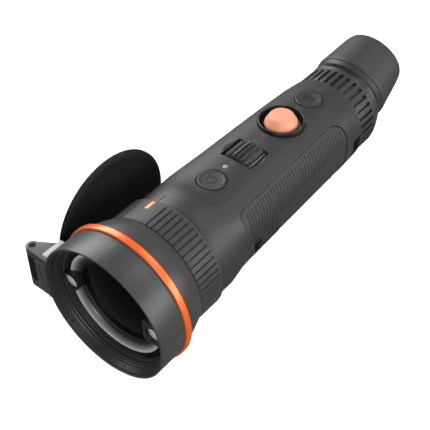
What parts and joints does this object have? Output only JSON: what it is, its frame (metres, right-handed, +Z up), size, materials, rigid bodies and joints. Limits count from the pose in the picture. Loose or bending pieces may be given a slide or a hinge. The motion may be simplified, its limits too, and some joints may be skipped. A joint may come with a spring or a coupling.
{
  "type": "thermal imaging monocular",
  "caption": "Hand-held thermal imaging monocular with a flip-back lens cover, focus ring, keys, scroll wheel, joystick and tilted eyepiece.",
  "frame": {"origin": "centre of the footprint of the device with its lens cover open, at its lowest point", "axes": "+Y runs back along the optical axis from the objective towards the eye, +Z is up through the keys, and the lens cover hangs on the -X side"},
  "size_m": [0.0866, 0.2332, 0.074],
  "materials": {
    "soft_touch_black": "soft-touch satin",
    "hood_grey": "fine satin paint",
    "deep_black": "matte",
    "rubber_grey": "matte",
    "signal_orange": "anodised orange",
    "stick_orange": "soft rubberised",
    "anodised_black": "black anodised",
    "steel": "brushed",
    "brass": "turned",
    "germanium": "coated, opaque to light",
    "clear_glass": "coated",
    "circuit_board": "solder mask",
    "battery_wrap": "shrink wrap",
    "display_black": "glossy",
    "lamp_grey": "translucent"
  },
  "bodies": {
    "device_body": {"hood_liner": "soft_touch_black", "upper_shell": "soft_touch_black", "lower_shell": "soft_touch_black", "rear_housing": "soft_touch_black", "objective_hood": "hood_grey", "cover_hinge_bracket": "hood_grey", "rangefinder_emitter_housing": "deep_black", "rangefinder_receiver_housing": "deep_black", "joystick_bezel": "deep_black", "joystick_well_floor": "deep_black", "joystick_switch": "deep_black", "wheel_cradle": "deep_black", "grip_panel_right": "rubber_grey", "grip_panel_left": "rubber_grey", "accent_ring": "signal_orange", "lens_retaining_ring": "anodised_black", "objective_barrel": "anodised_black", "shutter": "anodised_black", "eyepiece_tube": "anodised_black", "cover_hinge_pin": "steel", "strap_bar_front_right": "steel", "strap_bar_front_left": "steel", "strap_bar_rear_right": "steel", "strap_bar_rear_left": "steel", "case_screw_1": "steel", "case_screw_2": "steel", "case_screw_3": "steel", "case_screw_4": "steel", "usb_connector": "steel", "thermal_sensor": "steel", "wheel_axle": "steel", "tripod_insert": "brass", "objective_front_lens": "germanium", "rangefinder_emitter_window": "clear_glass", "rangefinder_receiver_window": "clear_glass", "sensor_board": "circuit_board", "main_board": "circuit_board", "front_key_board": "circuit_board", "rear_key_board": "circuit_board", "battery_cell": "battery_wrap", "display_panel": "display_black", "status_light": "lamp_grey"},
    "focus_ring": {"focus_ring": "rubber_grey", "focus_index_mark": "signal_orange"},
    "focusing_group": {"focusing_cell": "anodised_black", "focus_drive_pin": "steel", "focusing_lens": "germanium"},
    "lens_cover": {"lens_cover": "deep_black"},
    "power_key": {"power_key": "soft_touch_black"},
    "capture_key": {"capture_key": "soft_touch_black"},
    "scroll_wheel": {"scroll_wheel": "rubber_grey"},
    "joystick_plunger": {"joystick_plunger": "steel"},
    "joystick_gimbal": {"joystick_gimbal": "steel"},
    "joystick_cap": {"joystick_cap": "stick_orange"},
    "diopter_ring": {"diopter_ring": "soft_touch_black", "eyecup": "rubber_grey"},
    "eyepiece_cell": {"eyepiece_cell": "anodised_black", "eye_lens": "clear_glass", "field_lens": "clear_glass"},
    "usb_cover": {"usb_port_cover": "rubber_grey"}
  },
  "joints": [
    {"name": "lens_cover_hinge", "type": "hinge", "parent": "device_body", "child": "lens_cover", "pos_m": [-0.04, -0.11348, 0.037], "axis": [0, 0, 1], "range_deg": [0, 270]},
    {"name": "focus_turn", "type": "hinge", "parent": "device_body", "child": "focus_ring", "pos_m": [0.0063, -0.07608, 0.037], "axis": [0, 1, 0], "range_deg": [-60, 60]},
    {"name": "focusing_slide", "type": "slide", "parent": "device_body", "child": "focusing_group", "axis": [0, 1, 0], "range_m": [-0.004, 0.004]},
    {"name": "power_key_press", "type": "slide", "parent": "device_body", "child": "power_key", "axis": [0, 0, -1], "range_m": [0, 0.0005], "stiffness_N_per_m": 1000, "springref_m": -0.0003},
    {"name": "capture_key_press", "type": "slide", "parent": "device_body", "child": "capture_key", "axis": [0, 0, -1], "range_m": [0, 0.0005], "stiffness_N_per_m": 1000, "springref_m": -0.0003},
    {"name": "scroll_wheel_turn", "type": "hinge", "parent": "device_body", "child": "scroll_wheel", "pos_m": [0.0063, -0.01248, 0.0552], "axis": [0, 1, 0], "continuous": true},
    {"name": "joystick_press", "type": "slide", "parent": "device_body", "child": "joystick_plunger", "axis": [0, 0, -1], "range_m": [0, 0.0006], "stiffness_N_per_m": 1000, "springref_m": -0.0003},
    {"name": "joystick_tilt_fore_aft", "type": "hinge", "parent": "joystick_plunger", "child": "joystick_gimbal", "pos_m": [0.0063, 0.01872, 0.057], "axis": [1, 0, 0], "range_deg": [-7, 7], "stiffness_Nm_per_rad": 0.05},
    {"name": "joystick_tilt_sideways", "type": "hinge", "parent": "joystick_gimbal", "child": "joystick_cap", "pos_m": [0.0063, 0.01872, 0.057], "axis": [0, 1, 0], "range_deg": [-7, 7], "stiffness_Nm_per_rad": 0.05},
    {"name": "diopter_turn", "type": "hinge", "parent": "device_body", "child": "diopter_ring", "pos_m": [0.0063, 0.08332, 0.0447], "axis": [0, 0.9588, 0.284], "range_deg": [-60, 60]},
    {"name": "eyepiece_slide", "type": "slide", "parent": "device_body", "child": "eyepiece_cell", "axis": [0, 0.9588, 0.284], "range_m": [-0.0015, 0.0015]},
    {"name": "usb_cover_hinge", "type": "hinge", "parent": "device_body", "child": "usb_cover", "pos_m": [0.0063, 0.04332, 0.01392], "axis": [-1, 0, 0], "range_deg": [0, 100]}
  ],
  "couplings": [
    {"joint": "focusing_slide", "follows": "focus_turn", "m_per_rad": 0.0038},
    {"joint": "eyepiece_slide", "follows": "diopter_turn", "m_per_rad": 0.00142}
  ]
}
